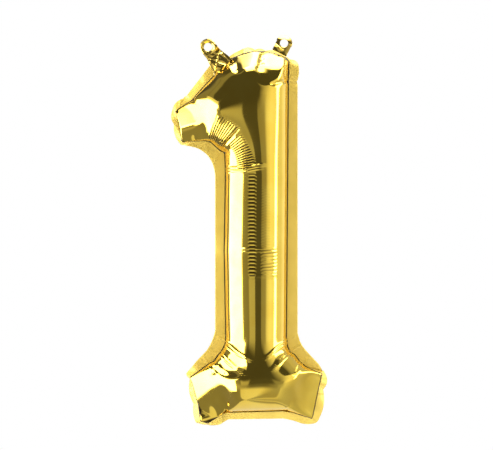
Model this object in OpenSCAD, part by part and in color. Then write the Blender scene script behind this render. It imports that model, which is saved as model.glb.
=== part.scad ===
// Foil number balloon, the digit one, blown up with air.
// Two sheets of metallised film are heat-sealed together round the edge. The neck at the
// upper left holds a flat self-closing valve, and both tabs have a punched hole to hang from.
// Frame: X to the right, Z up, and Y from the front to the back. The origin is the bottom
// centre of the box round the whole balloon, and the seal lies in the plane Y = 0.

/* [Film] */
// Thickness of one film. The real film is about a tenth of this
film_t = 0.4; // [0.3:0.05:0.5]
// Radius that the straight stem swells to
fullness = 29; // [22:0.5:31]
// Points across each film panel
columns = 22; // [16:2:26]

/* [Edge seal] */
// Width of the welded edge outside the seam
seal_margin = 9; // [7:0.5:9]
// Radius of the outer edge in the inside corners
corner_fillet = 30; // [20:1:34]
// Radius of the small notches where the edge gathers
notch_r = 1.4; // [0.8:0.1:1.8]

/* [Tabs] */
// Radius of the punched hole in each tab
hole_r = 3.9; // [3:0.1:4.4]
// Radius of the round end of each tab
tab_r = 7.8; // [7:0.1:8]
// Lean of the left tab, in degrees from upright
left_lean = -38; // [-44:1:-34]
// Lean of the right tab, in degrees from upright
right_lean = 26; // [20:1:30]

/* [Filling neck and valve] */
// Width of the air channel where the neck meets the body
mouth_w = 15; // [14:0.5:16]
// Height of the air channel in each film at the mouth
mouth_h = 2.6; // [2.2:0.1:3.2]
// Length of the neck from the body to the fold below the hole
neck_l = 15; // [13:0.5:17]
// Width of the valve films
valve_w = 8; // [6:0.5:9]
// Length of the valve films
valve_l = 58; // [45:1:64]
// Thickness of one valve film
valve_t = 0.3; // [0.2:0.05:0.3]

/* [Hidden] */
gold = [0.86, 0.68, 0.2];
clear_film = [0.85, 0.87, 0.9];
$fn = 64;

// Places of the two tabs, as [x, z]
mouth_centre = [-24.75, 337.8];
right_root = [28.5, 351.6];
right_hole_up = 9.2;   // from the right tab's fold to its hole
left_hole_up = 8.2;    // from the left tab's fold to its hole
fold_gap = 0.05;       // between a tab's round fold and what it folds against
side_gap = 0.6;        // beside the right tab and the valve, in the edge seal
valve_slot = 3;        // how far below the mouth the edge seal is kept clear of the valve
neck_top_w = 11.5;     // width of the air channel at the top of the neck
neck_top_h = 0.9;      // height of the air channel there
neck_edge = 2.6;       // weld on each side of the channel

function across(lean) = [cos(lean), -sin(lean)];
mouth_left = mouth_centre - across(left_lean) * mouth_w / 2;
mouth_right = mouth_centre + across(left_lean) * mouth_w / 2;

// The seam, where the films part: the top edge from the flag's tip to the right shoulder,
// the bottom edge, and the two sides from top to bottom, as [left, right, rows to the next]
top_edge = [
    [-66, 294], [-53, 306], [-49, 311], mouth_left, mouth_right,
    [-8, 346], [4, 348], [14, 347.5], [26, 346], [36, 339]
];
bottom_edge = [[-43, 9], [-36, 9.5], [-19, 14], [32, 14.5], [41, 13], [58, 9]];
sides = [
    [[-66, 294], [36, 339], 5],
    [[-63.5, 284.5], [36.4, 322], 3],
    [[-60.5, 268], [36.3, 300], 4],
    [[-41, 268.5], [36.1, 284], 2],
    [[-36, 267], [36, 277], 2],
    [[-26, 258.5], [35.9, 262], 1],
    [[-22.5, 255], [35.8, 253], 4],
    [[-23, 212], [35.5, 212], 10],
    [[-22, 82], [35, 82], 2],
    [[-23, 76], [36, 75], 2],
    [[-26, 69.5], [38, 69.5], 2],
    [[-33, 61], [48, 60], 1],
    [[-38, 57.5], [53.5, 56], 3],
    [[-52, 45], [66, 49], 4],
    [[-46, 20], [63, 25], 5],
    [[-43, 9], [58, 9], 0]
];
// Where the welded edge gathers round a corner of the seam, as [x, z, directions of the notches]
gathers = [
    [-66, 294, [146, 165, 186]], [-60.5, 268, [206, 232, 256]], [4, 348, [93]],
    [14, 347.5, [85]], [26, 346, [68]], [36, 339, [40, 14]], [-52, 45, [150, 172]],
    [-43, 9, [214, 240, 262]], [58, 9, [276, 300, 325]], [66, 49, [8, 28, 48]]
];

// Length of a path up to each of its points, and the point a share s of the way along it
function lengths(path, i = 0, sum = 0) =
    i == len(path) - 1 ? [sum]
    : concat([sum], lengths(path, i + 1, sum + norm(path[i + 1] - path[i])));
function on_path(path, s) =
    let (run = lengths(path), x = s * run[len(run) - 1],
         i = max([for (k = [0 : len(run) - 2]) if (run[k] <= x) k]),
         f = (x - run[i]) / (run[i + 1] - run[i]))
    path[i] + f * (path[i + 1] - path[i]);

// Rows down the body. The first and last stretches are finer towards the edge
last_side = len(sides) - 1;
function ease(i, f) = i == 0 ? f * f : i == last_side - 1 ? 1 - (1 - f) * (1 - f) : f;
rows = concat(
    [for (i = [0 : last_side - 1]) for (k = [0 : sides[i][2] - 1])
        let (f = ease(i, k / sides[i][2]))
        [sides[i][0] + f * (sides[i + 1][0] - sides[i][0]),
         sides[i][1] + f * (sides[i + 1][1] - sides[i][1])]],
    [[sides[last_side][0], sides[last_side][1]]]
);
last_row = len(rows) - 1;

// How far an edge bows from the straight line between its ends, a share s along it
function bow(path, s) =
    on_path(path, s) - path[0] - s * (path[len(path) - 1] - path[0]);
function column_share(j) = (1 - cos(180 * j / columns)) / 2;
top_bow = [for (j = [0 : columns]) bow(top_edge, column_share(j))];
bottom_bow = [for (j = [0 : columns]) bow(bottom_edge, column_share(j))];
function fade(x) = max(0, 1 - x) ^ 2;
top_reach = 0.42;      // share of the rows that the top edge bends
bottom_reach = 0.2;    // share of the rows that the bottom edge bends

// The grid of points that both films share, in the plane of the seal, as [x, z]
plan = [for (i = [0 : last_row])
    let (down = i / last_row)
    [for (j = [0 : columns])
        rows[i][0] + column_share(j) * (rows[i][1] - rows[i][0])
        + fade(down / top_reach) * top_bow[j]
        + fade((1 - down) / bottom_reach) * bottom_bow[j]]];
seam = concat(
    [for (j = [0 : columns]) plan[0][j]],
    [for (i = [1 : last_row]) plan[i][columns]],
    [for (j = [columns - 1 : -1 : 0]) plan[last_row][j]],
    [for (i = [last_row - 1 : -1 : 1]) plan[i][0]]
);

// An air-filled film stands higher the further it is from the seam. The pull of one
// straight piece of seam on a point is the angle it spans over its distance
corners = concat(
    top_edge,
    [for (i = [1 : last_side - 1]) sides[i][1]],
    [for (i = [len(bottom_edge) - 1 : -1 : 0]) bottom_edge[i]],
    [for (i = [last_side - 1 : -1 : 1]) sides[i][0]]
);
function pull_of(a, b) =
    let (turn = abs(a[0] * b[1] - a[1] * b[0]), span = norm(b - a))
    turn < 0.001 ? span / (norm(a) * norm(b))
    : atan2(turn, a * b) * PI / 180 * span / turn;
function pull(p) =
    [for (i = [0 : len(corners) - 1])
        pull_of(corners[i] - p, corners[(i + 1) % len(corners)] - p)]
    * [for (i = corners) 1];
function half_ellipse(x) = sqrt(max(0, 1 - x * x));
function mouth_rise(p) =
    mouth_h * half_ellipse(min(1, abs((p - mouth_centre) * across(left_lean)) / (mouth_w / 2)));
function on_edge(i, j) = i == 0 || i == last_row || j == 0 || j == columns;
rise = [for (i = [0 : last_row]) [for (j = [0 : columns])
    let (p = plan[i][j],
         free = on_edge(i, j) ? 0 : 2 * PI * fullness / pull(p),
         near = norm(p - mouth_centre) < mouth_w ? fade(i / 4) : 0)
    sqrt(free + near * mouth_rise(p) ^ 2)]];

// Outside and inside points of the front film, as [x, y, z]
outside = [for (i = [0 : last_row]) [for (j = [0 : columns])
    [plan[i][j][0], -rise[i][j], plan[i][j][1]]]];
function unit(v) = v / norm(v);
function toward(v, i, j) =
    let (k = min(max(i, 1), last_row - 1), m = min(max(j, 1), columns - 1),
         d = plan[k][m] - plan[i][j])
    unit([d[0], 0, d[1]]);
inside = [for (i = [0 : last_row]) [for (j = [0 : columns])
    let (p = outside[i][j])
    on_edge(i, j) ? p + film_t * toward(p, i, j) + [0, min(film_t, rise[i][j]), 0]
    : p + film_t * unit(cross(outside[i][j + 1] - outside[i][j - 1],
                              outside[i + 1][j] - outside[i - 1][j]))]];

// Joins two grids of the same size along their shared edge into one closed skin
module skin(outer, inner) {
    n = len(outer) - 1;
    m = len(outer[0]) - 1;
    w = m + 1;
    shift = (n + 1) * w;
    loop = concat(
        [for (j = [0 : m - 1]) j],
        [for (i = [0 : n - 1]) i * w + m],
        [for (j = [m : -1 : 1]) n * w + j],
        [for (i = [n : -1 : 1]) i * w]
    );
    points = concat([for (r = outer) each r], [for (r = inner) each r]);
    cells = [for (i = [0 : n - 1]) for (j = [0 : m - 1]) i * w + j];
    polyhedron(points, concat(
        [for (c = cells) [c, c + 1, c + w]],
        [for (c = cells) [c + 1, c + w + 1, c + w]],
        [for (c = cells) [c + shift, c + w + shift, c + 1 + shift]],
        [for (c = cells) [c + 1 + shift, c + w + shift, c + w + 1 + shift]],
        [for (k = [0 : len(loop) - 1])
            let (a = loop[k], b = loop[(k + 1) % len(loop)]) [a, a + shift, b]],
        [for (k = [0 : len(loop) - 1])
            let (a = loop[k], b = loop[(k + 1) % len(loop)]) [b, a + shift, b + shift]]
    ));
}

module front_panel() {
    color(gold) skin(outside, inside);
}

module rear_panel() {
    color(gold) mirror([0, 1, 0]) skin(outside, inside);
}

// Draws in a tab's own plane: local X across the tab and local Z up along it
module at_mouth() {
    translate([mouth_centre[0], 0, mouth_centre[1]]) rotate([0, left_lean, 0]) children();
}
module at_left_fold() {
    at_mouth() translate([0, 0, neck_l]) children();
}
module at_right_fold() {
    translate([right_root[0], 0, right_root[1]]) rotate([0, right_lean, 0]) children();
}

// A flat shape drawn in X and Z, thick along Y and centred on the seal
module plate(t) {
    rotate([90, 0, 0]) translate([0, 0, -t / 2]) linear_extrude(t) children();
}

module neck_outline() {
    bottom = mouth_w / 2 + neck_edge;
    top = neck_top_w / 2 + neck_edge;
    polygon([[-bottom, 0], [bottom, 0], [top, neck_l], [-top, neck_l]]);
}

module edge_seal() {
    color(gold) difference() {
        plate(2 * film_t) difference() {
            offset(r = -corner_fillet) offset(r = seal_margin + corner_fillet) polygon(seam);
            polygon(seam);
            for (g = gathers) for (a = g[2])
                translate([g[0], g[1]] + seal_margin * [cos(a), sin(a)])
                    circle(notch_r, $fn = 16);
        }
        at_mouth() plate(4 * film_t) {
            neck_outline();
            translate([-valve_w / 2 - side_gap, -valve_slot]) square([valve_w + 2 * side_gap, valve_slot]);
        }
        at_right_fold() plate(4 * film_t)
            translate([-tab_r - side_gap, -film_t - fold_gap])
                square([2 * (tab_r + side_gap), 4 * tab_r]);
    }
}

// One film of the neck: flat welds at its sides and a low arched air channel between them
neck_steps = 6;
arch_steps = 12;
function mix(a, b, f) = a + f * (b - a);
function arch(x, f) =
    mix(mouth_h, neck_top_h, f) * half_ellipse(x / (mix(mouth_w, neck_top_w, f) / 2));
function neck_columns(f) =
    let (half = mix(mouth_w, neck_top_w, f) / 2)
    concat([-half - neck_edge],
           [for (k = [0 : arch_steps]) -half * cos(180 * k / arch_steps)],
           [half + neck_edge]);
function neck_side(lift) = [for (i = [neck_steps : -1 : 0])
    let (f = i / neck_steps, top = neck_l - film_t - fold_gap)
    [for (x = neck_columns(f)) [x, -lift - arch(x, f), f * top]]];

module neck_film() {
    skin(neck_side(film_t), neck_side(0));
}

module neck_front_film() {
    color(gold) at_mouth() neck_film();
}

module neck_rear_film() {
    color(gold) at_mouth() mirror([0, 1, 0]) neck_film();
}

// A tab of welded film: a round end with a punched hole, and a rounded fold at its foot
module tab(hole_up, foot_w) {
    difference() {
        union() {
            plate(2 * film_t) difference() {
                hull() {
                    translate([0, hole_up]) circle(tab_r);
                    translate([-foot_w / 2, 0]) square([foot_w, 0.01]);
                }
                translate([-2 * tab_r, -4 * tab_r]) square(4 * tab_r);
            }
            rotate([0, 90, 0]) cylinder(r = film_t, h = foot_w, center = true);
        }
        translate([0, 0, hole_up]) rotate([90, 0, 0])
            cylinder(r = hole_r, h = 4 * film_t, center = true);
    }
}

module left_tab() {
    color(gold) at_left_fold() tab(left_hole_up, 2 * tab_r - 0.4);
}

module right_tab() {
    color(gold) at_right_fold() tab(right_hole_up, 2 * tab_r - 1);
}

// The valve: two strips of plain film that lie flat on each other inside the neck.
// Air pushes them apart on its way in, and the pressure inside presses them shut
valve_top = neck_l - 1;      // the open end, just below the fold, where each strip hinges
valve_gap = 0.1;             // from the middle plane to the front strip
coating_t = 0.06;
coating_l = 30;

module valve_strip(front) {
    translate([-valve_w / 2, front, valve_top - valve_l]) cube([valve_w, valve_t, valve_l]);
    translate([0, front + valve_t / 2, valve_top]) rotate([0, 90, 0])
        cylinder(r = valve_t / 2, h = valve_w, center = true);
}

module valve_front_film() {
    color(clear_film) at_mouth() valve_strip(-valve_gap - valve_t);
}

module valve_rear_film() {
    color(clear_film) at_mouth() valve_strip(0.02);
}

module valve_coating() {
    color([0.5, 0.55, 0.6]) at_mouth()
        translate([-valve_w / 2 + 1, -valve_gap, valve_top - coating_l])
            cube([valve_w - 2, coating_t, coating_l]);
}

front_panel();
rear_panel();
edge_seal();
neck_front_film();
neck_rear_film();
left_tab();
right_tab();
valve_front_film();
valve_rear_film();
valve_coating();
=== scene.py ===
import math

import bmesh
import bpy
import numpy as np
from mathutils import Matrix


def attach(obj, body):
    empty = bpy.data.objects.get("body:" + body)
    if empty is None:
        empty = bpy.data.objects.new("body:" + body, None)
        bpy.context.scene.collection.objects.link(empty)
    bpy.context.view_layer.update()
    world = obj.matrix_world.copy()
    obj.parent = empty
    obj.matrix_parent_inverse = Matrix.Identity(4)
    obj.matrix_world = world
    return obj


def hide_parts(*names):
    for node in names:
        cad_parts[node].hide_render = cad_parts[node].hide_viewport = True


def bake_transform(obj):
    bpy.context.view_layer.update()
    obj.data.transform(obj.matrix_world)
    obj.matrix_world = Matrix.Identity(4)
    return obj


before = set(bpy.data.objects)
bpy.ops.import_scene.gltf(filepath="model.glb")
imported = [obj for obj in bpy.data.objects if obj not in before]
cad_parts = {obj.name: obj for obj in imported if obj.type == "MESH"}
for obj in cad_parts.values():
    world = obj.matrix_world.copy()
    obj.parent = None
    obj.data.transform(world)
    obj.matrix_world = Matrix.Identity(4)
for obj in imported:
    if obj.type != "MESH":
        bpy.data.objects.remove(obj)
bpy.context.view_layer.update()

# ---------------------------------------------------------------- body films
# The two big sheets of metallised film. Each is cut flat, welded to the other round the
# edge and swollen by air, so it is a tube along the stem, and where the outline turns it
# gathers into sharp folds. Lengths in these sections are millimetres: X right, Z up.

MM = 0.001
STEM_RADIUS = 29.4
# Seam at the left and at the right of each row from the top down, and the row spacing below it
SIDES = [
    ((-70, 295.6), (36.7, 343), 1.0),
    ((-66.5, 285.7), (36.2, 324), 1.0),
    ((-63.3, 266.8), (36.05, 302), 0.8),
    ((-53.6, 267.6), (35.98, 292), 0.6),
    ((-41.6, 268.1), (35.93, 284), 0.5),
    ((-36.8, 267.3), (35.88, 277), 0.5),
    ((-27, 258.5), (35.78, 264), 0.45),
    ((-23, 257), (35.74, 258), 0.45),
    ((-22.3, 238), (35.6, 238), 0.6),
    ((-23.5, 165), (35.08, 165), 0.6),
    ((-23.1, 142), (34.9, 142), 1.6),
    ((-22.1, 84), (34.5, 84), 0.8),
    ((-22.5, 77.1), (35.5, 75), 0.8),
    ((-26.4, 69.6), (37.5, 69.8), 0.8),
    ((-29.7, 66), (42.1, 67.3), 0.8),
    ((-33.4, 60.7), (47.5, 60.2), 0.8),
    ((-38.3, 58.3), (52.6, 56.1), 0.9),
    ((-55.7, 45.1), (67.9, 48.9), 0.9),
    ((-53.5, 40.4), (66.5, 44), 0.9),
    ((-47.8, 19.7), (62.3, 25), 0.9),
    ((-45.6, 4.7), (58.8, 7.5), 0),
]
TOP_EDGE = [
    (-70, 295.6), (-53.6, 305.9), (-49.4, 311.4), (-32.9, 329.4), (-30.7, 333.2),
    (-18.8, 342.4), (-16, 345.5), (-6, 349.5), (3.3, 352), (14.6, 351.6), (26, 349),
    (34.3, 346), (36.7, 343),
]
BOTTOM_EDGE = [
    (-45.6, 4.7), (-39, 2.8), (-22.1, 13.9), (-18.3, 13.2), (31.5, 14.6), (40, 13.2),
    (58.8, 7.5),
]
COLUMNS = 92
FILM_THICKNESS = 0.07
SEAM_SHADE = 2.5       # up to this height over the seam the gold is painted brown, as painted shade
BOTTOM_SHADE = 0.8     # the same along the bottom
FAN_CROWD = 0.09       # how much closer the columns lie where the fan of folds is
ROUND_SHARE = 0.6      # how far a swollen film is a round tube, the rest being hipped
LEVELLING = 10.0       # how softly a wide film levels off at the height of the stem
DIP = 0.14             # the least of its full height that a facet leaves the film


def along(path, shares):
    """Points at the given shares of the length of a path."""
    path = np.array(path, float)
    steps = np.hypot(*np.diff(path, axis=0).T)
    run = np.concatenate([[0], np.cumsum(steps)]) / steps.sum()
    return np.stack([np.interp(shares, run, path[:, k]) for k in range(path.shape[1])], -1)


def side_rows():
    """The two ends of every row. Rows crowd together towards the top and the bottom edge."""
    left, right = [], []
    for k in range(len(SIDES) - 1):
        (a, b, step), (c, d, _) = SIDES[k], SIDES[k + 1]
        reach = max(math.dist(a, c), math.dist(b, d))
        count = math.ceil(reach / step)
        for i in range(count):
            f = i / count
            if k == 0:
                f = f * f
            if k == len(SIDES) - 2:
                f = 1 - (1 - f) ** 2
            left.append(np.add(a, np.multiply(np.subtract(c, a), f)))
            right.append(np.add(b, np.multiply(np.subtract(d, b), f)))
    left.append(SIDES[-1][0])
    right.append(SIDES[-1][1])
    return np.array(left, float), np.array(right, float)


def window(x, low, high, soft):
    """1 between low and high, falling to 0 over the distance soft outside them."""
    rise = np.clip((x - low) / soft + 1, 0, 1)
    fall = np.clip((high - x) / soft + 1, 0, 1)
    f = np.minimum(rise, fall)
    return f * f * (3 - 2 * f)


def film_plan():
    """Where every point of a film lies in the plane of the seal, as rows of X and Z."""
    left, right = side_rows()
    turn = np.linspace(0, 1, COLUMNS + 1)[None]
    # Columns crowd together where the fan of folds crosses the rows at the crook, and
    # elsewhere they are spread nearly evenly round the tube
    crowd = FAN_CROWD * window((left + right)[:, 1:] / 2, 240, 287, 8)
    even = 0.045 * np.sin(2 * math.pi * turn) + 0.02 * np.sin(math.pi * turn)
    fan = np.sin(2 * math.pi * (turn - 0.38)) + math.sin(0.76 * math.pi)
    turn = turn - (1 - crowd / FAN_CROWD) * even - crowd * fan
    share = ((1 - np.cos(math.pi * turn)) / 2)[..., None]
    down = np.linspace(0, 1, len(left))[:, None, None]
    plan = left[:, None] + share * (right - left)[:, None]
    for edge, reach, depth in ((TOP_EDGE, 0.4, down), (BOTTOM_EDGE, 0.14, 1 - down)):
        ends = np.array([edge[0], edge[-1]], float)
        bow = along(edge, share[..., 0]) - ends[0] - share * (ends[1] - ends[0])
        plan = plan + np.maximum(0, 1 - depth / reach) ** 2 * bow
    return plan


def outline_corners():
    lefts = [s[0] for s in SIDES[1:-1]]
    rights = [s[1] for s in SIDES[1:-1]]
    return np.array(TOP_EDGE + rights + BOTTOM_EDGE[::-1] + lefts[::-1], float)


def smaller(a, b, rounding):
    """The smaller of two heights, with the ridge between them rounded."""
    f = np.clip(0.5 + 0.5 * (b - a) / rounding, 0, 1)
    return b + (a - b) * f - rounding * f * (1 - f)


def near_line(off, t0, t1):
    """The sums of 1/r^2 and 1/r^6 along a line seen from its own direction, where the
    closed forms would lose all their digits."""
    def ends(t):
        q = (off / t) ** 2
        return np.array([-(1 - q / 3 + q * q / 5) / t,
                         -(1 / 5 - 3 * q / 7 + 2 * q * q / 3) / t ** 5])
    return ends(t1) - ends(t0)


# Flat facets where the film is drawn tight between corners: the middle in X and Z, how far
# it is flat and how far it fades, one point's X, Z and height, the rise per millimetre along
# X and Z, and how round its rim is
FACETS = [
    (-64, 288, 12, 26, -68, 290, 1.5, 0.45, -0.12, 4),
    (-57, 272, 13, 14, -63.3, 266.8, 0.8, 0.3, 0.4, 2.0),
    (2, 344, 15, 7, -2, 349, 3.0, 0.45, -1.6, 1.2),
    (24, 346, 10, 8, 24, 349.5, 2.2, -0.25, -1.25, 2.0),
    (26, 331, 13, 14, 28, 333, 19.5, -0.28, -0.42, 1.6),
    (-50, 35, 16, 30, -46.9, 20.7, 2.0, 0.545, 0.197, 1.6),
    (-37, 21, 11, 16, -46.9, 20.7, 2.0, 0.36, 0.42, 2.5),
    (-40, 9, 8, 8, -45, 5, 0.8, -0.12, 0.38, 1.6),
    (-18, 63, 9, 9, -14, 66, 23.3, 0.62, 0.12, 2),
    (60, 40, 8, 12, 65.5, 31, 1.8, -0.82, 0.05, 2.0),
    (64, 24, 10, 30, 65.5, 31, 1.8, -0.52, 0.169, 1.6),
]
# Soft bulges: the middle in X and Z, how far they reach along X and Z, and their height
BULGES = [
    (-2, 32, 34, 20, 3.6), (-2, 333, 16, 9, 1.2), (24, 332, 11, 9, 1.6), (38, 300, 9, 36, 5.5),
]
# Where the neck leaves the body: the middle of the gap in the seal, and how far the neck leans
MOUTH = (-24.75, 337.8)
MOUTH_HALF = 7.2
MOUTH_HEIGHT = 2.4
LEFT_LEAN = -38


def from_mouth(x, z):
    """How far each point lies across and up the neck."""
    c, s = math.cos(math.radians(LEFT_LEAN)), math.sin(math.radians(LEFT_LEAN))
    dx, dz = x - MOUTH[0], z - MOUTH[1]
    return dx * c - dz * s, dx * s + dz * c


def swell(x, z):
    """How far the air lifts each point: a round tube in the stem, flatter where it is wide,
    and with soft ridges that run to the corners."""
    corners = outline_corners()
    flat = np.stack([x, z], -1)
    # Two sums along the seam: pull, of 1/r^2, gives a soft round height, and hug, of 1/r^6,
    # hardly more than the distance to the nearest seam
    pull = np.zeros(len(flat))
    hug = np.zeros(len(flat))
    for start, end in zip(corners, np.roll(corners, -1, axis=0)):
        a, b = start - flat, end - flat
        edge = end - start
        length = np.hypot(*edge)
        off = np.abs(a[:, 0] * b[:, 1] - a[:, 1] * b[:, 0]) / length
        t0, t1 = a @ edge / length, b @ edge / length
        end_on = (t0 * t1 > 0) & (off < 0.12 * np.minimum(np.abs(t0), np.abs(t1)))
        off = np.where(end_on, off, np.maximum(off, 1e-3))
        r0, r1 = t0 ** 2 + off ** 2, t1 ** 2 + off ** 2
        safe = np.maximum(off, 1e-3)
        angle = np.arctan2(t1, safe) - np.arctan2(t0, safe)
        fourth = (t1 / r1 - t0 / r0) / (2 * safe ** 2) + angle / (2 * safe ** 3)
        sixth = (t1 / r1 ** 2 - t0 / r0 ** 2) / (4 * safe ** 2) + 0.75 * fourth / safe ** 2
        clear = np.where(end_on[None], np.stack([t0, t1]), 1.0)
        far = near_line(np.where(end_on, off, 0), clear[0], clear[1])
        pull += np.where(end_on, far[0], angle / safe)
        hug += np.where(end_on, far[1], sixth)
    round_top = np.sqrt(2 * math.pi * STEM_RADIUS / pull)
    d = smaller((0.375 * math.pi / hug) ** 0.2, STEM_RADIUS, LEVELLING)
    hipped = np.sqrt(d * (2 * STEM_RADIUS - d))
    lift = ROUND_SHARE * round_top + (1 - ROUND_SHARE) * hipped
    for x0, z0, reach_x, reach_z, height in BULGES:
        bump = np.exp(-((x - x0) / reach_x) ** 2 - ((z - z0) / reach_z) ** 2)
        lift = lift + height * bump * (1 - np.exp(-(d / 9) ** 2))
    for middle_x, middle_z, reach, fade, x0, z0, height, rise_x, rise_z, rim in FACETS:
        facet = np.maximum(height + rise_x * (x - x0) + rise_z * (z - z0), DIP * lift)
        hold = window(-np.hypot(x - middle_x, z - middle_z), -reach, 1, fade)
        lift = lift + hold * (smaller(lift, facet, rim) - lift)
    return np.maximum(lift, 0)


def mouth_gap(x, z):
    """The mouth stays open, since the valve strips run through it into the neck."""
    across, up = from_mouth(x, z)
    arch = np.sqrt(np.clip(1 - (across / MOUTH_HALF) ** 2, 0, 1))
    return MOUTH_HEIGHT * arch * window(up, -3, 3, 2)


def zigzag(x):
    """A wave of flat folds with slightly rounded edges, one fold to each whole number."""
    return np.arcsin(0.94 * np.sin(2 * math.pi * x)) / math.asin(0.94)


def crease(x, z, start, end, height, width, strands=1, pitch=1.6, wave=0.0):
    """Narrow pinched folds side by side along a line: ridges, or valleys where height < 0."""
    (x0, z0), (x1, z1) = start, end
    length = math.dist(start, end)
    ux, uz = (x1 - x0) / length, (z1 - z0) / length
    f = ((x - x0) * ux + (z - z0) * uz) / length
    side = (x - x0) * -uz + (z - z0) * ux
    side = side - wave * np.sin(f * 9.0)
    taper = window(f, 0.12, 0.88, 0.2)
    lift = 0
    for k in range(strands):
        offset = (k - (strands - 1) / 2) * pitch
        lift = lift + np.exp(-np.abs(side - offset * (1 + 0.25 * np.sin(5 * f + k))) / width)
    return height * taper * lift


FAN_CENTRE = (-50.3, 235.9)
FAN_PITCH = 2.6   # degrees from one fold of the fan to the next


def front_pleats(x, z):
    """The close even pleats of the front film, as lift along its surface, in millimetres."""
    dx, dz = x - FAN_CENTRE[0], z - FAN_CENTRE[1]
    radius = np.hypot(dx, dz)
    angle = np.degrees(np.arctan2(dz, dx))
    fan = window(angle, 46, 70, 2) * window(radius, 37, 57, 3)
    fan = fan + window(angle, 8, 41, 2) * window(radius, 40 + 0.1 * angle, 54, 3)
    lift = 0.38 * fan * zigzag(angle / FAN_PITCH)
    # The ladder down the middle of the stem
    ladder = window(z, 142, 234, 4) * window(x, -0.3, 5, 0.8)
    lift = lift + 0.24 * ladder * zigzag(z / 3.4)
    ladder = window(z, 146, 215, 18) * window(x, 12, 19, 2)
    lift = lift + 0.05 * ladder * zigzag(z / 2.6 + 0.2)
    ladder = window(z, 142, 165, 1.5) * window(x, 12, 24, 2)
    return lift + 0.09 * ladder * zigzag(z / 3.2)


def front_creases(x, z):
    """The single folds of the front film, as lift along its surface, in millimetres."""
    # The step where the flag folds over the stem, from the crook's corner up to the right
    lift = crease(x, z, (-28, 257), (-11, 278), -1.6, 1.2)
    lift = lift + crease(x, z, (-25, 240), (13, 244), 0.9, 0.6, 2, 2.2, 0.4)
    lift = lift + crease(x, z, (-24, 236), (12, 241), 0.6, 0.5, 1, 2, 0.3)
    for height, from_x, to_x in ((166.5, -10, 25), (164, -6, 25), (142, 0, 25), (139.5, 2, 24)):
        lift = lift + crease(x, z, (from_x, height), (to_x, height + 0.6), 0.3, 0.4)
    # Pinched folds at both flares of the base
    for start, end in (
        ((-26, 80), (0, 63)), ((-32, 73), (-6, 50)), ((-38, 62), (-32, 50)),
        ((40, 84), (14, 65)), ((46, 77), (20, 54)), ((53, 66), (43, 50)),
    ):
        lift = lift + crease(x, z, start, end, 1.0, 0.55, 2, 2.5, 0.3)
    # Valleys that run in from the gathers along the top and round the corners
    for start, end, depth, width in (
        ((-20, 350), (-11, 330), -2.6, 1.6), ((-17, 350), (-8, 330), -1.4, 1.1),
        ((15, 358), (8, 333), -4.0, 2.2), ((35, 352), (34, 326), -2.0, 1.4),
        ((41, 326), (20, 319), -1.3, 1.2), ((-33.5, 331), (-26, 321), 0.45, 0.4),
        ((-31.5, 332), (-24, 322), 0.4, 0.4), ((-56, 309), (-46, 300), -0.9, 1.0),
        ((-52, 273), (-50, 262), -0.8, 0.9), ((-22, 12), (-21.5, 24), -1.3, 1.0),
        ((34, 12), (39, 27), -0.9, 1.3),
    ):
        lift = lift + crease(x, z, start, end, depth, width)
    return lift


def rear_pleats(x, z):
    """The rear film pleats in the same places, at its own spacing."""
    dx, dz = x - FAN_CENTRE[0], z - FAN_CENTRE[1]
    radius = np.hypot(dx, dz)
    angle = np.degrees(np.arctan2(dz, dx))
    fan = window(angle, 8, 66, 5) * window(radius, 36, 50, 6)
    ladder = window(z, 120, 225, 12) * window(x, 1, 13, 4)
    return 0.3 * fan * zigzag(angle / 3.1) + 0.1 * ladder * zigzag(z / 3.7)


def rear_creases(x, z):
    lift = crease(x, z, (-26, 242), (10, 238), 0.8, 0.7, 2, 2.2, 0.4)
    for start, end in (
        ((-27, 78), (-3, 60)), ((-34, 70), (-12, 50)), ((41, 82), (17, 63)),
        ((49, 72), (27, 53)),
    ):
        lift = lift + crease(x, z, start, end, 0.7, 0.6, 2, 2.3, 0.3)
    for start, end, depth, width in (
        ((-15, 348), (-8, 331), -1.8, 1.8), ((20, 352), (15, 335), -2.0, 1.9),
        ((37, 333), (26, 329), -0.9, 1.1), ((-56, 306), (-44, 300), -0.8, 1.2),
        ((-58, 269), (-50, 279), -0.8, 1.0), ((-10, 14), (-8, 26), -1.1, 1.3),
        ((22, 14), (23, 26), -0.9, 1.4), ((-50, 30), (-36, 33), 0.6, 2.0),
        ((62, 26), (46, 33), 0.6, 2.2),
    ):
        lift = lift + crease(x, z, start, end, depth, width)
    return lift


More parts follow.
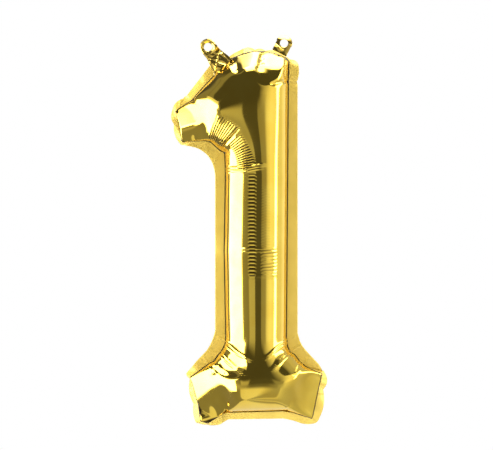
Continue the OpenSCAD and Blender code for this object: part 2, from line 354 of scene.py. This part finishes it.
def film_object(name, plan, lift, pleats, creases, side):
    """A closed thin sheet swollen to one side, -1 for the front, and folded."""
    rows, columns = plan.shape[:2]
    points = np.stack([plan[..., 0], side * lift, plan[..., 1]], -1)
    down = np.gradient(points, axis=0)
    right = np.gradient(points, axis=1)
    out = np.cross(right, down)
    out /= np.maximum(np.linalg.norm(out, axis=-1, keepdims=True), 1e-9)
    out *= np.where(out[..., 1:2] * side < 0, -1, 1)
    # The folds run out towards the seam, where the two films are welded
    hold = np.clip(lift / 4, 0, 1)
    pleat = hold * pleats(plan[..., 0], plan[..., 1])
    crease_lift = hold * creases(plan[..., 0], plan[..., 1])
    points = points + (pleat + crease_lift)[..., None] * out
    corner = np.arange(rows * columns).reshape(rows, columns)
    quads = np.stack([corner[:-1, :-1], corner[1:, :-1], corner[1:, 1:], corner[:-1, 1:]], -1)
    quads = quads.reshape(-1, 4)
    if side > 0:
        quads = quads[:, ::-1]
    mesh = bpy.data.meshes.new(name)
    mesh.from_pydata((points.reshape(-1, 3) * MM).tolist(), [], quads.tolist())
    # Painted shade: near the seam and in the valleys of the pleats the gold is painted brown, as the
    # shade that falls there
    shade = SEAM_SHADE - (SEAM_SHADE - BOTTOM_SHADE) * window(plan[..., 1], -5, 16, 8)
    painted_seam_pleat_shade = np.maximum(np.clip(1 - lift / shade, 0, 1), np.clip(-pleat / 0.16, 0, 1) * 0.8)
    mark = mesh.attributes.new("painted_seam_pleat_shade", "FLOAT", "POINT")
    mark.data.foreach_set("value", painted_seam_pleat_shade.ravel().astype(np.float32))
    return thin_wall(name, mesh, FILM_THICKNESS)


def thin_wall(name, mesh, thickness):
    """Gives an open sheet its thickness behind the side that its faces point to."""
    mesh.shade_smooth()
    piece = bpy.data.objects.new(name, mesh)
    bpy.context.scene.collection.objects.link(piece)
    wall = piece.modifiers.new("wall", "SOLIDIFY")
    wall.thickness = thickness * MM
    wall.offset = -1
    solid = bpy.data.meshes.new_from_object(piece.evaluated_get(
        bpy.context.evaluated_depsgraph_get()))
    piece.modifiers.clear()
    piece.data = solid
    solid.name = name
    return piece


class Wire:
    """The output of a shader node, which Python's own arithmetic can work on."""

    def __init__(self, tree, socket=None):
        self.tree, self.socket = tree, socket

    def node(self, kind, inputs=(), out=0, **settings):
        made = self.tree.nodes.new(kind)
        for name, value in settings.items():
            setattr(made, name, value)
        for key, value in dict(inputs).items():
            if isinstance(value, Wire):
                self.tree.links.new(value.socket, made.inputs[key])
            else:
                made.inputs[key].default_value = value
        return Wire(self.tree, made.outputs[out])

    def math(self, operation, *others, **settings):
        inputs = {0: self, **{k + 1: v for k, v in enumerate(others)}}
        return self.node("ShaderNodeMath", inputs, operation=operation, **settings)

    def __add__(self, other):
        return self.math("ADD", other)

    def __sub__(self, other):
        return self.math("SUBTRACT", other)

    def __mul__(self, other):
        return self.math("MULTIPLY", other)

    def __truediv__(self, other):
        return self.math("DIVIDE", other)

    def __rsub__(self, other):
        return self.node("ShaderNodeMath", {0: other, 1: self}, operation="SUBTRACT")

    __radd__ = __add__
    __rmul__ = __mul__

    def step(self, low, high):
        """0 below low, 1 above high, smooth between."""
        return self.node(
            "ShaderNodeMapRange", {"Value": self, "From Min": low, "From Max": high},
            interpolation_type="SMOOTHSTEP")

    def ramp(self, stops):
        """A ramp of plain levels: stops are (place, level)."""
        made = self.tree.nodes.new("ShaderNodeValToRGB")
        while len(made.color_ramp.elements) > 1:
            made.color_ramp.elements.remove(made.color_ramp.elements[-1])
        made.color_ramp.elements[0].position = stops[0][0]
        for place, _ in stops[1:]:
            made.color_ramp.elements.new(place)
        for element, (_, level) in zip(made.color_ramp.elements, stops):
            element.color = (level, level, level, 1)
        self.tree.links.new(self.socket, made.inputs[0])
        return Wire(self.tree, made.outputs[0])

    def mix(self, a, b):
        """Blends colour a into colour b by this wire."""
        return self.node(
            "ShaderNodeMix", {0: self, 6: a, 7: b}, out=2, data_type="RGBA")


def new_material(name):
    material = bpy.data.materials.new(name)
    material.use_nodes = True
    tree = material.node_tree
    tree.nodes.clear()
    return material, Wire(tree)


def surface(start, **inputs):
    """Ends a material: a Principled shader with these inputs, underscores for spaces."""
    inputs = {name.replace("_", " "): value for name, value in inputs.items()}
    shader = start.node("ShaderNodeBsdfPrincipled", inputs)
    end = start.tree.nodes.new("ShaderNodeOutputMaterial")
    start.tree.links.new(shader.socket, end.inputs["Surface"])


def mirror_film():
    """Gold lacquer over an aluminium mirror, with the faint unevenness of thin film."""
    material, start = new_material("gold_mirror_film")
    place = start.node("ShaderNodeTexCoord", out="Object")
    cloud = place.node(
        "ShaderNodeTexNoise", {"Vector": place, "Scale": 55.0, "Detail": 3.0}, out="Fac")
    fine = place.node(
        "ShaderNodeTexNoise", {"Vector": place, "Scale": 900.0, "Detail": 2.0}, out="Fac")
    deep_gold, bright_gold = (0.93, 0.63, 0.062, 1), (0.97, 0.69, 0.085, 1)
    painted_shade_brown = (0.07, 0.04, 0.012, 1)
    colour = cloud.step(0.3, 0.7).mix(deep_gold, bright_gold)
    # Painted shade: near the seam and in the pleats' valleys the gold is painted brown and its clear
    # coat fades out
    seam = start.node("ShaderNodeAttribute", out="Fac", attribute_name="painted_seam_pleat_shade")
    colour = seam.step(0.1, 0.8).mix(colour, painted_shade_brown)
    bump = start.node(
        "ShaderNodeBump", {"Strength": 0.05, "Distance": 0.0004, "Height": cloud + fine * 0.08},
        out="Normal")
    surface(start, Base_Color=colour, Metallic=1.0, Roughness=fine * 0.05 + 0.045,
            Normal=bump, Coat_Weight=0.5 - seam.step(0.4, 0.8) * 0.5, Coat_Roughness=0.04)
    return material


def give(piece, material):
    piece.data.materials.clear()
    piece.data.materials.append(material)


mirror_gold = mirror_film()
plan = film_plan()
lift = swell(plan[..., 0].ravel(), plan[..., 1].ravel()).reshape(plan.shape[:2])
lift[0], lift[-1], lift[:, 0], lift[:, -1] = 0, 0, 0, 0
lift = np.maximum(lift, mouth_gap(plan[..., 0], plan[..., 1]))
front_film = film_object("front_film", plan, lift, front_pleats, front_creases, -1)
rear_film = film_object("rear_film", plan, lift, rear_pleats, rear_creases, 1)
for piece, node in ((front_film, "front_panel"), (rear_film, "rear_panel")):
    give(piece, mirror_gold)
    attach(piece, "envelope")
    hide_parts(node)

# ---------------------------------------------------------------- welded edge
# The flat margin outside the seam, where heat and pressure fused the two films. Its print of
# the sealing tool leaves it satin. Round the outside corners it has gathered into scallops.

MARGIN = 9.0
HALF_WELD = 0.12       # half the thickness of the two fused films and their print
# From the neck's right side clockwise: seam x, z, outer edge x, z, and how far the outer
# edge bulges before the next point
EDGE = [
    (-18.3, 345.9, -20, 347.3, 0.8), (-1, 351.3, -1.9, 356.4, 0.6),
    (3.8, 352.3, 5.3, 354.2, 1.5), (14.6, 351.6, 15, 353.3, 1.2),
    (26, 349, 28.7, 351.7, 0.3), (34.5, 346, 38.2, 345.0, 2.6),
    (36.6, 337, 46.4, 337.2, 0.5), (36.4, 327, 45.6, 326.5, 0.3),
    (36.2, 324, 44.6, 324.2, 0), (36.1, 320, 45.3, 321, 0), (35.2, 212, 45.3, 212, 0),
    (34.5, 84, 45.3, 87.4, 0),
    (35.2, 76, 47.4, 79.9, -0.2), (38, 69.3, 51.3, 73.3, -0.1), (42.1, 67.3, 57.2, 66.6, 0),
    (47.5, 60.2, 64.6, 58.8, 0.3), (56, 54.6, 68.6, 51.6, 0.8), (67.9, 48.9, 70.5, 50.4, 3.2),
    (65, 38, 69.5, 33.7, 2.2), (60.6, 10.3, 66, 7.3, 1.6), (58.8, 7.5, 58.6, 1.4, 0.8),
    (45, 11.6, 46, 3.2, -0.4), (31.5, 14.6, 31.6, 6.6, 0), (-18.3, 13.2, -19.8, 5.8, -0.3),
    (-27, 10.8, -27, 1.6, 0.9), (-39, 2.8, -40, 0.4, 0.5), (-45.6, 4.7, -50.4, 2.6, 1.4),
    (-47.8, 19.7, -52.8, 20.5, 2.4), (-54.6, 42.8, -56.1, 44.3, 1.0),
    (-55.7, 45.1, -59.7, 48.9, 0), (-38.3, 58.3, -49.5, 61.4, 0),
    (-31, 64, -40.6, 70.6, -0.2), (-24.5, 73, -36, 78.5, -0.3), (-22.1, 84, -32.3, 89.8, 0),
    (-23.4, 160, -32.3, 160, 0), (-22.4, 233, -32.3, 233, -0.7), (-22.8, 250, -35.2, 247.5, -0.4),
    (-25, 258, -40.3, 255.2, -0.3), (-32, 263, -48, 260.6, -0.2), (-44, 268, -57, 263, 0.1),
    (-62, 266.8, -64.7, 264.7, 2.4), (-64.8, 276, -71.1, 283.6, 1.6),
    (-68.6, 291, -73, 296, 2.6), (-66, 298.2, -62, 308, 0.6), (-53.6, 305.9, -59.2, 310.6, 0),
    (-49.4, 311.4, -55.6, 315.4, 0), (-32.9, 329.4, -36.6, 339.6, 0),
]
# Tucks that run out over the margin from the pinched corners
TUCKS = [
    ((-41.4, 269), (-40, 257)), ((-26, 260), (-34, 247)), ((-30, 84), (-20, 79)),
    ((-39, 72), (-29, 67)), ((-44, 66), (-38, 57)), ((34, 79), (43, 85)), ((40, 71), (51, 79)),
    ((52, 57), (57, 67)), ((-6, 350), (-5, 357)), ((13.5, 351), (15, 355)), ((35, 324), (47, 324)),
    ((-55, 306), (-62, 312)), ((64, 31), (72, 30)), ((-57, 45), (-62, 44)),
]


def bulged(a, b, bulge, shares):
    """Points from a to b on a bow that stands out to the left of the way by bulge."""
    a, b = np.array(a), np.array(b)
    way = b - a
    out = np.array([-way[1], way[0]]) / np.hypot(*way)
    return a + shares[:, None] * way + (4 * bulge * shares * (1 - shares))[:, None] * out


def on_outline(points):
    """The nearest points on the seam."""
    best = np.full(len(points), np.inf)
    found = points.astype(float)
    corners = outline_corners()
    for start, end in zip(corners, np.roll(corners, -1, axis=0)):
        edge = end - start
        f = np.clip(((points - start) @ edge) / (edge @ edge), 0, 1)
        spot = start + f[:, None] * edge
        far = np.hypot(*(points - spot).T)
        closer = far < best
        best[closer] = far[closer]
        found[closer] = spot[closer]
    return found


def edge_object(name, across=14, spacing=0.8):
    """The margin as a closed thin strip, with the gathers leaning out of its plane."""
    seam, outer = [], []
    for start, end in zip(EDGE, EDGE[1:]):
        count = max(3, math.ceil(math.dist(start[2:4], end[2:4]) / spacing))
        shares = np.arange(count) / count
        seam.append(bulged(start[:2], end[:2], 0, shares))
        outer.append(bulged(start[2:4], end[2:4], start[4], shares))
    seam = on_outline(np.concatenate(seam + [np.array([EDGE[-1][:2]])]))
    outer = np.concatenate(outer + [np.array([EDGE[-1][2:4]])])
    way = outer - seam
    width = np.hypot(*way.T)
    # Where the outline was drawn in, the margin is wider than the room it has, and leans out
    lean = np.sqrt(np.maximum(0, MARGIN ** 2 - width ** 2))
    lean = np.convolve(np.pad(lean, 4, mode="edge"), np.ones(9) / 9, mode="valid")
    place = np.cumsum(np.concatenate([[0], np.hypot(*np.diff(outer, axis=0).T)]))
    ruffle = np.clip(lean / 8, 0.05, 1) * np.sin(place * 0.55 + 2 * np.sin(place * 0.13)) * 0.8
    inset = way / width[:, None] * 0.5
    front, rear = [], []
    for k in range(across + 1):
        f = k / across
        point = seam - inset + f * (way + inset)
        y = lean * f ** 1.5 + ruffle * f ** 1.5
        for start, end in TUCKS:
            y = y - crease(*point.T, start, end, 0.7, 0.5)
        front.append(np.stack([point[:, 0], y - HALF_WELD, point[:, 1]], -1))
        rear.append(np.stack([point[:, 0], y + HALF_WELD, point[:, 1]], -1))
    loop = np.array(front + rear[::-1])
    rings, length = loop.shape[:2]
    inner = np.concatenate([np.arange(across + 1), np.arange(across + 1)[::-1]]) / across
    inner = inner[:, None] * (width + 0.5)[None] - 0.5
    corner = np.arange(rings * length).reshape(rings, length)
    corner = np.concatenate([corner, corner[:1]])
    quads = np.stack([corner[:-1, :-1], corner[:-1, 1:], corner[1:, 1:], corner[1:, :-1]], -1)
    faces = quads.reshape(-1, 4).tolist()
    faces += [corner[:-1, 0].tolist(), corner[:-1, -1][::-1].tolist()]
    mesh = bpy.data.meshes.new(name)
    mesh.from_pydata((loop.reshape(-1, 3) * MM).tolist(), [], faces)
    work = bmesh.new()
    work.from_mesh(mesh)
    bmesh.ops.recalc_face_normals(work, faces=work.faces)
    work.to_mesh(mesh)
    work.free()
    mesh.shade_smooth()
    mark = mesh.attributes.new("from_seam", "FLOAT", "POINT")
    mark.data.foreach_set("value", inner.ravel().astype(np.float32))
    piece = bpy.data.objects.new(name, mesh)
    bpy.context.scene.collection.objects.link(piece)
    return piece


def satin_film():
    """The same film where the sealing tool pressed it: a fine even grain, so no mirror."""
    material, start = new_material("gold_satin_weld")
    place = start.node("ShaderNodeTexCoord", out="Object")
    grain = place.node(
        "ShaderNodeTexNoise", {"Vector": place, "Scale": 1400.0, "Detail": 2.0}, out="Fac")
    cloud = place.node(
        "ShaderNodeTexNoise", {"Vector": place, "Scale": 60.0, "Detail": 2.0}, out="Fac")
    dull_gold, pale_gold = (0.78, 0.56, 0.085, 1), (0.83, 0.6, 0.1, 1)
    painted_seam_shadow = (0.035, 0.024, 0.014, 1)
    colour = cloud.step(0.3, 0.7).mix(dull_gold, pale_gold)
    # A dark line is painted along the seam: painted shadow of the crease where the margin meets the
    # swollen film
    mark = start.node("ShaderNodeAttribute", out="Fac", attribute_name="from_seam")
    colour = mark.step(0.5, 1.15).mix(painted_seam_shadow, colour)
    bump = start.node(
        "ShaderNodeBump", {"Strength": 0.25, "Distance": 0.0001, "Height": grain + cloud},
        out="Normal")
    surface(start, Base_Color=colour, Metallic=0.35, Roughness=cloud * 0.08 + 0.5,
            Normal=bump, Coat_Weight=0.3, Coat_Roughness=0.3)
    return material


satin_gold = satin_film()
edge = edge_object("welded_edge")
give(edge, satin_gold)
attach(edge, "envelope")
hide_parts("edge_seal")

# ---------------------------------------------------------------- filling neck
# Two strips of the same film on both sides of the mouth, welded along their long edges. Air
# goes in between them, and handling has crumpled them.

NECK_LENGTH = 15.0
NECK_THICKNESS = 0.1


def leaning(origin, lean, across, up):
    """X and Z of points given across and up a piece that leans by so many degrees."""
    c, s = math.cos(math.radians(lean)), math.sin(math.radians(lean))
    return origin[0] + across * c + up * s, origin[1] - across * s + up * c


def neck_film(name, side, folds, rows=70, columns=80):
    """One film of the neck: a soft channel that flattens towards its top."""
    f = np.linspace(0, 1, rows)[:, None]
    g = np.linspace(-1, 1, columns)[None]
    up = -1.0 + f * (NECK_LENGTH + 2.0)
    half = 10.4 - 2.4 * f + 0.5 * np.sin(f * 5) + 1.2 * np.exp(-14 * f)
    across = g * half
    arch = np.sqrt(np.clip(1 - (across / 7.6) ** 2, 0, 1))
    puff = arch * (2.7 - 1.9 * f) + HALF_WELD
    for start, end, height, width in folds:
        puff = puff + crease(across, up, start, end, height, width)
    puff = puff + 0.14 * arch * np.sin((across + 0.5 * up) * 1.4) * np.sin(up * 0.5)
    # The channel never closes on the valve strips that lie in it
    least = 0.06 + (0.55 + 0.075 * np.clip(14 - up, 0, 15)) * window(across, -4.4, 4.4, 1.5)
    x, z = leaning(MOUTH, LEFT_LEAN, across, up)
    points = np.stack([x, side * np.maximum(puff, least), z], -1)
    corner = np.arange(rows * columns).reshape(rows, columns)
    quads = np.stack([corner[:-1, :-1], corner[:-1, 1:], corner[1:, 1:], corner[1:, :-1]], -1)
    quads = quads.reshape(-1, 4)
    if side > 0:
        quads = quads[:, ::-1]
    mesh = bpy.data.meshes.new(name)
    mesh.from_pydata((points.reshape(-1, 3) * MM).tolist(), [], quads.tolist())
    return thin_wall(name, mesh, NECK_THICKNESS)


def handled_film():
    """The mirror film where fingers have creased it: the same gold, with small dents."""
    material, start = new_material("gold_handled_film")
    place = start.node("ShaderNodeTexCoord", out="Object")
    dents = place.node(
        "ShaderNodeTexVoronoi", {"Vector": place, "Scale": 230.0}, out="Distance",
        feature="SMOOTH_F1")
    fine = place.node(
        "ShaderNodeTexNoise", {"Vector": place, "Scale": 1300.0, "Detail": 2.0}, out="Fac")
    painted_lit_gold, painted_shaded_gold = (0.95, 0.67, 0.12, 1), (0.86, 0.58, 0.09, 1)
    # Painted light and shade that follow the dents: the gold is lighter in the middle of each dent
    # and darker towards its rim
    colour = dents.step(0.2, 0.8).mix(painted_lit_gold, painted_shaded_gold)
    bump = start.node(
        "ShaderNodeBump", {"Strength": 0.16, "Distance": 0.0006, "Height": dents + fine * 0.05},
        out="Normal")
    surface(start, Base_Color=colour, Metallic=1.0, Roughness=fine * 0.1 + 0.1,
            Normal=bump, Coat_Weight=0.4, Coat_Roughness=0.08)
    return material


handled_gold = handled_film()
FRONT_NECK_FOLDS = [
    ((-9, 1), (6, 14), 0.9, 0.9), ((5, -2), (-3, 9), -0.8, 1.1), ((-8, 13), (9, 12), -1.0, 0.9),
    ((8, 0), (5, 12), 0.6, 0.9), ((-6, 3), (-7, 12), 0.6, 0.8),
]
REAR_NECK_FOLDS = [
    ((-8, 2), (2, 13), 1.1, 0.9), ((6, -1), (1, 10), -1.0, 0.8), ((-8, 12), (8, 13), -1.2, 0.8),
    ((7, 2), (6, 12), 0.8, 0.7),
]
for name, side, folds, node in (
        ("neck_front", -1, FRONT_NECK_FOLDS, "neck_front_film"),
        ("neck_rear", 1, REAR_NECK_FOLDS, "neck_rear_film")):
    film = neck_film(name, side, folds)
    give(film, handled_gold)
    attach(film, "envelope")
    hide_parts(node)

# ---------------------------------------------------------------- left hanging tab
# The end of the neck, where both films are welded flat and a round hole is punched for the
# ribbon.

TAB_RADIUS = 7.8
HOLE_RADIUS = 3.9
TAB_THICKNESS = 0.25
LEFT_HOLE_UP = 8.2     # from the tab's foot to the middle of its hole


def tab_film(name, root, lean, hole_up, foot_up, foot_half, shape, angles=120, rings=18):
    """A tab with a round hole: rings run from the hole's rim out to the tab's edge."""
    turn = np.linspace(0, 2 * math.pi, angles, endpoint=False)[None]
    c, s = np.cos(turn), np.sin(turn)
    # How far the edge is: a round head, straight flanks, and a straight foot below
    flank = foot_half / np.maximum(np.abs(c), 1e-6)
    foot = (hole_up - foot_up) / np.maximum(-s, 1e-6)
    reach = np.where(s > -0.05, TAB_RADIUS, np.minimum(flank, foot))
    reach = np.minimum(reach, 14)
    f = (np.linspace(0, 1, rings) ** 0.9)[:, None]
    radius = HOLE_RADIUS + f * (reach - HOLE_RADIUS)
    across, up = radius * c, hole_up + radius * s
    y = shape(across, up - hole_up, f, turn)
    x, z = leaning(root, lean, across, up)
    points = np.stack([x, y, z], -1)
    corner = np.arange(rings * angles).reshape(rings, angles)
    after = np.roll(corner, -1, axis=1)
    quads = np.stack([corner[:-1], corner[1:], after[1:], after[:-1]], -1).reshape(-1, 4)
    mesh = bpy.data.meshes.new(name)
    mesh.from_pydata((points.reshape(-1, 3) * MM).tolist(), [], quads.tolist())
    work = bmesh.new()
    work.from_mesh(mesh)
    bmesh.ops.recalc_face_normals(work, faces=work.faces)
    if sum(face.normal.y for face in work.faces) > 0:
        bmesh.ops.reverse_faces(work, faces=work.faces)
    work.to_mesh(mesh)
    work.free()
    return thin_wall(name, mesh, TAB_THICKNESS)


def left_tab_shape(across, up, f, turn):
    """Crumpled round the hole, with its rim turned a little forwards."""
    y = 0.6 * f * np.sin(3 * turn + 0.6) + 0.2 * f * f * np.sin(5 * turn)
    y = y - 0.7 * window(f, 0.4, 0.7, 0.3)
    return (y - 0.05 * np.clip(across + 3, 0, 9) ** 2 * 0.5) * np.clip((up + 9.5) / 4, 0, 1)


def foot_and_hole(root, lean, below, above):
    """Two points on a tab's middle line, in metres, at the two given heights up the tab."""
    found = []
    for up in (below, above):
        x, z = leaning(root, lean, 0, up)
        found.append((x * MM, 0, z * MM))
    return found


left_root = leaning(MOUTH, LEFT_LEAN, 0, NECK_LENGTH)
left_tab = tab_film(
    "left_tab_film", left_root, LEFT_LEAN, LEFT_HOLE_UP, -0.8, 7.6, left_tab_shape)
give(left_tab, handled_gold)
bend = foot_and_hole(left_root, LEFT_LEAN, -0.6, 2.5)
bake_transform(left_tab)
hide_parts("left_tab")

# ---------------------------------------------------------------- right hanging tab
# A single tongue left on the margin when the outline was cut, both films welded, with the
# second ribbon hole. Its top has curled back and its foot has a small pleat.

RIGHT_ROOT = (28.5, 351.6)
RIGHT_LEAN = 26
RIGHT_HOLE_UP = 9.2


def right_tab_shape(across, up, f, turn):
    """Curled back at the top, and bowed across."""
    y = 0.07 * np.clip(up + 0.5, 0, 9) ** 2 + 0.025 * across ** 2
    pleat = crease(across, up, (-9, -4.5), (2, -6.5), -1.4, 0.9)
    return (y + pleat) * np.clip((up + 10.5) / 4, 0, 1)


right_tab = tab_film(
    "right_tab_film", RIGHT_ROOT, RIGHT_LEAN, RIGHT_HOLE_UP, -1.2, 7.3, right_tab_shape)
give(right_tab, handled_gold)
bend = foot_and_hole(RIGHT_ROOT, RIGHT_LEAN, -0.6, 3.0)
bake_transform(right_tab)
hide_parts("right_tab")

# ---------------------------------------------------------------- valve strips
# Two thin clear strips inside the balloon that hang from the neck and cling together, so air
# can't get back out. The rear one carries a printed patch that keeps them from sticking.


def clear_strip_film():
    """Clear polythene, faintly drawn along its length."""
    material, start = new_material("clear_valve_film")
    place = start.node("ShaderNodeTexCoord", out="Object")
    drawn = place.node(
        "ShaderNodeTexNoise", {"Vector": place, "Scale": 260.0, "Detail": 3.0}, out="Fac")
    milky, clear = (0.8, 0.83, 0.86, 1), (0.9, 0.92, 0.94, 1)
    colour = drawn.step(0.3, 0.7).mix(milky, clear)
    bump = start.node(
        "ShaderNodeBump", {"Strength": 0.2, "Distance": 0.0002, "Height": drawn}, out="Normal")
    surface(start, Base_Color=colour, Roughness=drawn * 0.15 + 0.12, Normal=bump,
            Alpha=drawn * 0.2 + 0.4, IOR=1.5)
    return material


def release_print():
    """The printed patch: a thin chalky blue-grey ink with pinholes."""
    material, start = new_material("release_ink")
    place = start.node("ShaderNodeTexCoord", out="Object")
    ink = place.node(
        "ShaderNodeTexNoise", {"Vector": place, "Scale": 900.0, "Detail": 4.0}, out="Fac")
    dark_ink, pale_ink = (0.2, 0.24, 0.3, 1), (0.34, 0.39, 0.46, 1)
    colour = ink.step(0.35, 0.6).mix(dark_ink, pale_ink)
    bump = start.node(
        "ShaderNodeBump", {"Strength": 0.3, "Distance": 0.0001, "Height": ink}, out="Normal")
    surface(start, Base_Color=colour, Roughness=ink * 0.2 + 0.6, Normal=bump)
    return material


strip_film, ink = clear_strip_film(), release_print()
for node, finish in (("valve_front_film", strip_film), ("valve_rear_film", strip_film),
                     ("valve_coating", ink)):
    for slot in bpy.data.objects[node].material_slots:
        slot.material = finish

# ---------------------------------------------------------------- the set
# A pale floor well below, since the balloon hangs, and a studio round it: tall soft boxes at
# both sides, a bright ceiling, and a dark room in front that gives the film its contrast.

floor_mesh = bpy.data.meshes.new("floor")
floor_half = 3.0
floor_z = -0.35
floor_mesh.from_pydata(
    [(-floor_half, -floor_half, floor_z), (floor_half, -floor_half, floor_z),
     (floor_half, floor_half, floor_z), (-floor_half, floor_half, floor_z)], [], [(0, 1, 2, 3)])
floor = bpy.data.objects.new("floor", floor_mesh)
bpy.context.scene.collection.objects.link(floor)
floor_paint, start = new_material("pale_floor")
surface(start, Base_Color=(0.9, 0.9, 0.9, 1), Roughness=0.9)
floor_mesh.materials.append(floor_paint)
floor.visible_glossy = False

world = bpy.data.worlds.new("studio")
bpy.context.scene.world = world
world.use_nodes = True
world.node_tree.nodes.clear()
sky = Wire(world.node_tree)
ray = sky.node("ShaderNodeTexCoord", out="Generated")
x, y, z = (sky.node("ShaderNodeSeparateXYZ", {0: ray}, out=k) for k in "XYZ")
# How far to the side the ray points: 0 to the left, 0.5 to the front or back, 1 to the right
level = (x * x + y * y).math("SQRT")
behind = y.step(-0.1, 0.1)
side = x / (level + 0.0001) * 0.5 + 0.5 + behind * 0.03
# Levels across, from left to right, at each height. They are multiplied by BRIGHTEST
BRIGHTEST = 8.0
low = side.ramp([
    (0, 0.031), (0.2, 0.034), (0.26, 0.1), (0.6, 0.11), (0.65, 0.05), (0.74, 0.05),
    (0.8, 0.09), (1, 0.06)])
under = side.ramp([
    (0, 0.09), (0.13, 0.06), (0.3, 0.05), (0.45, 0.045), (0.5, 0.02), (0.62, 0.02),
    (0.7, 0.05), (0.8, 0.06), (0.9, 0.1), (1, 0.08)])
middle = side.ramp([
    (0, 0.09), (0.095, 0.09), (0.12, 0.035), (0.26, 0.03), (0.3, 0.065), (0.47, 0.06),
    (0.48, 0.011), (0.655, 0.011), (0.67, 0.036), (0.8, 0.042), (0.86, 0.11), (0.93, 0.14),
    (0.978, 0.13), (1, 0.11)])
high = side.ramp([
    (0, 0.12), (0.16, 0.12), (0.2, 0.03), (0.24, 0.009), (0.68, 0.009), (0.78, 0.06),
    (0.93, 0.13), (1, 0.12)])
steep = side.ramp([(0, 0.031), (0.02, 0.031), (0.04, 0.009), (0.93, 0.009), (0.975, 0.05), (1, 0.06)])
room = z.step(-0.5, -0.2).mix(low, under)
room = z.step(-0.2, -0.03).mix(room, middle)
room = z.step(0.02, 0.14).mix(room, high)
room = z.step(0.38, 0.42).mix(room, steep)
# Behind the balloon, above its height, the far wall is dim: darkest in its middle and paler to
# the right. A narrow rim and the bright ceiling close the room at the top
backdrop = y.step(0.02, 0.12) * z.step(0.12, 0.25)
far_wall = x.step(-0.72, -0.62).mix((0.031, 0.031, 0.031, 1), (0.01, 0.01, 0.01, 1))
far_wall = x.step(0.1, 0.3).mix(far_wall, (0.075, 0.075, 0.075, 1))
room = backdrop.mix(room, far_wall)
room = (z.step(0.74, 0.8) * x.step(-0.4, -0.3)).mix(room, (0.13, 0.13, 0.13, 1))
room = (z.step(0.81, 0.86) * x.step(-0.36, -0.28)).mix(room, (0.9, 0.9, 0.9, 1))
# The tall soft box on the left, wider at its top
left_edge = z.step(0.04, 0.1) * 0.06 + 0.083
left_box = (left_edge - side).step(-0.012, 0.006) * z.step(-0.46, -0.4)
left_box = left_box * (1 - z.step(0.2, 0.27)) * (1 - backdrop)
room = left_box.mix(room, (1, 1, 1, 1))
# The one on the right hangs askew, so its light narrows to a thin line level with the stem
slant = z.step(0, 0.3)
near = y + 0.24 + slant * 0.12
far = slant * 0.5 - 0.08 - y
right_box = near.step(-0.02, 0.02) * far.step(-0.03, 0.03) * x.step(0.1, 0.3)
right_box = right_box * z.step(-0.12, -0.04) * (1 - z.step(0.34, 0.4))
room = right_box.mix(room, (0.9, 0.9, 0.9, 1))
seen = sky.node("ShaderNodeLightPath", out="Is Camera Ray")
shown = sky.node("ShaderNodeBackground", {"Color": (1, 1, 1, 1), "Strength": 1.0})
lit = sky.node("ShaderNodeBackground", {"Color": room, "Strength": BRIGHTEST})
both = sky.node("ShaderNodeMixShader", {0: seen, 1: lit, 2: shown})
end = world.node_tree.nodes.new("ShaderNodeOutputWorld")
world.node_tree.links.new(both.socket, end.inputs["Surface"])
bpy.context.scene.view_settings.view_transform = "Standard"

# The camera looks level at the middle of the balloon from the front
distance = 2.2
view_width = 0.4634
view_x, view_z = -0.0028, 0.1889
camera_data = bpy.data.cameras.new("camera")
camera_data.sensor_width = 36
camera_data.lens = camera_data.sensor_width * distance / view_width
camera = bpy.data.objects.new("camera", camera_data)
bpy.context.scene.collection.objects.link(camera)
camera.location = (view_x, -distance, view_z)
camera.rotation_euler = (math.pi / 2, 0, 0)
bpy.context.scene.camera = camera
